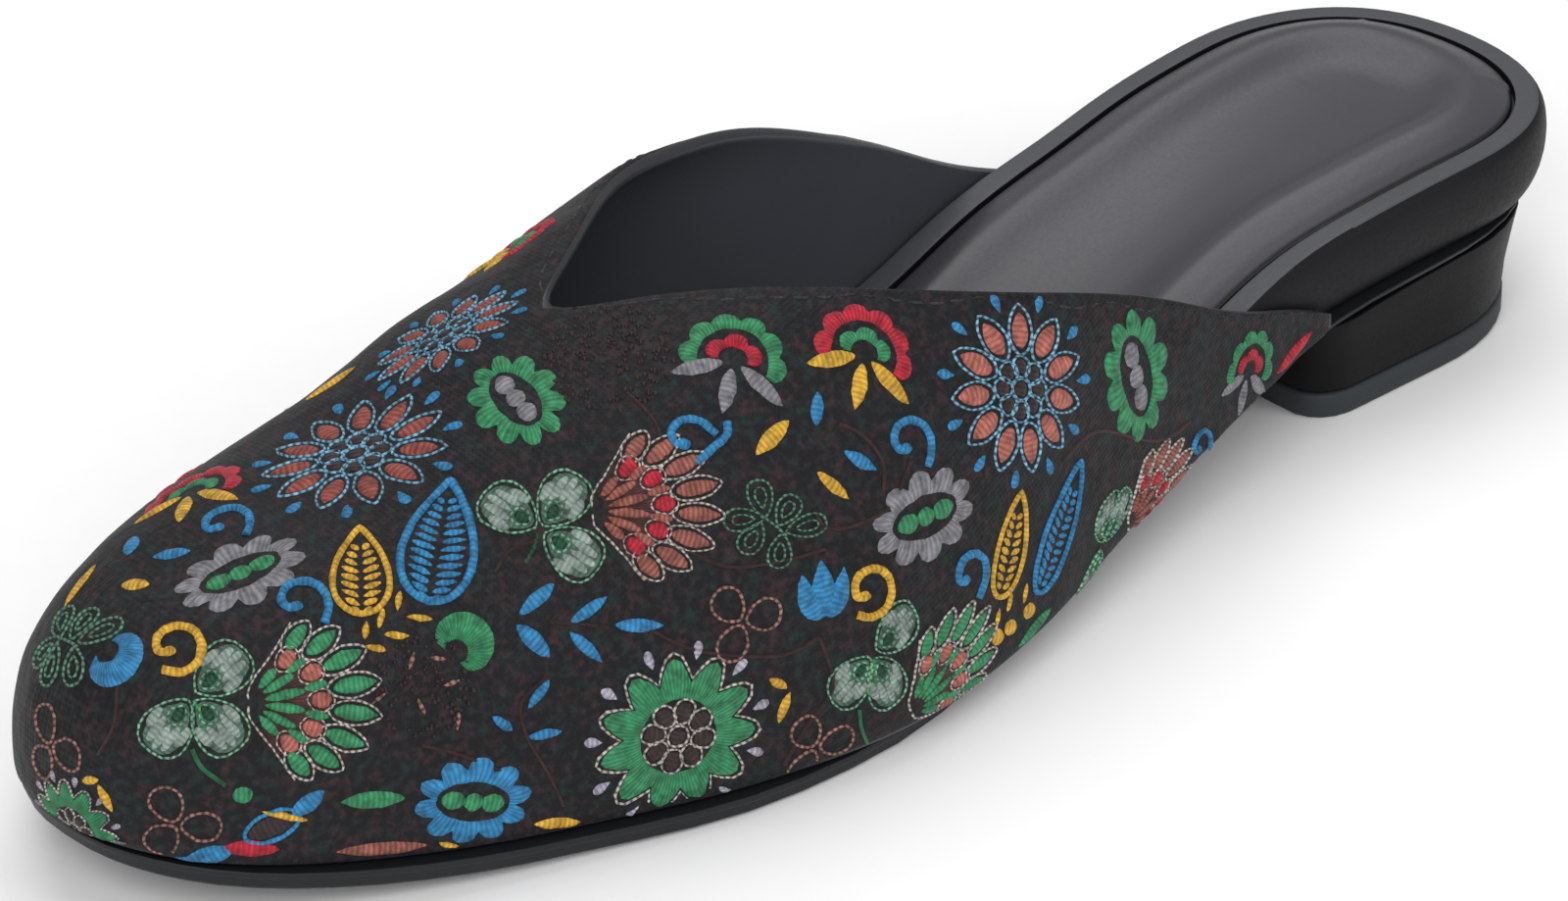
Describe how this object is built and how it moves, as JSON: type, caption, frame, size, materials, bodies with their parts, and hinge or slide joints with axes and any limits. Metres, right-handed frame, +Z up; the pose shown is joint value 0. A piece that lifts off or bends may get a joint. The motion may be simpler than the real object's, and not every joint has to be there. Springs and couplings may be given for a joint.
{
  "type": "house slipper",
  "caption": "Backless house slipper for the left foot: black upper with embroidered flowers and a V throat, padded insole in a wrapped footbed, thin sole, low block heel.",
  "frame": {"origin": "on the floor, under the middle of the shoe's length and breadth", "axes": "+X towards the toe, +Y to the wearer's left, which is the outer side of this left shoe, +Z up"},
  "size_m": [0.2534, 0.0862, 0.0595],
  "materials": {
    "upper_cloth": "woven, with raised thread flowers",
    "footbed_wrap": "fine grain, matte",
    "insole_leather": "smooth, soft sheen",
    "sole_rubber": "matte",
    "heel_plastic": "satin",
    "tip_rubber": "matte"
  },
  "bodies": {
    "root": {"upper": "upper_cloth", "midsole": "footbed_wrap", "insole": "insole_leather", "outsole": "sole_rubber", "heel": "heel_plastic", "heel_tip": "tip_rubber"}
  },
  "joints": []
}
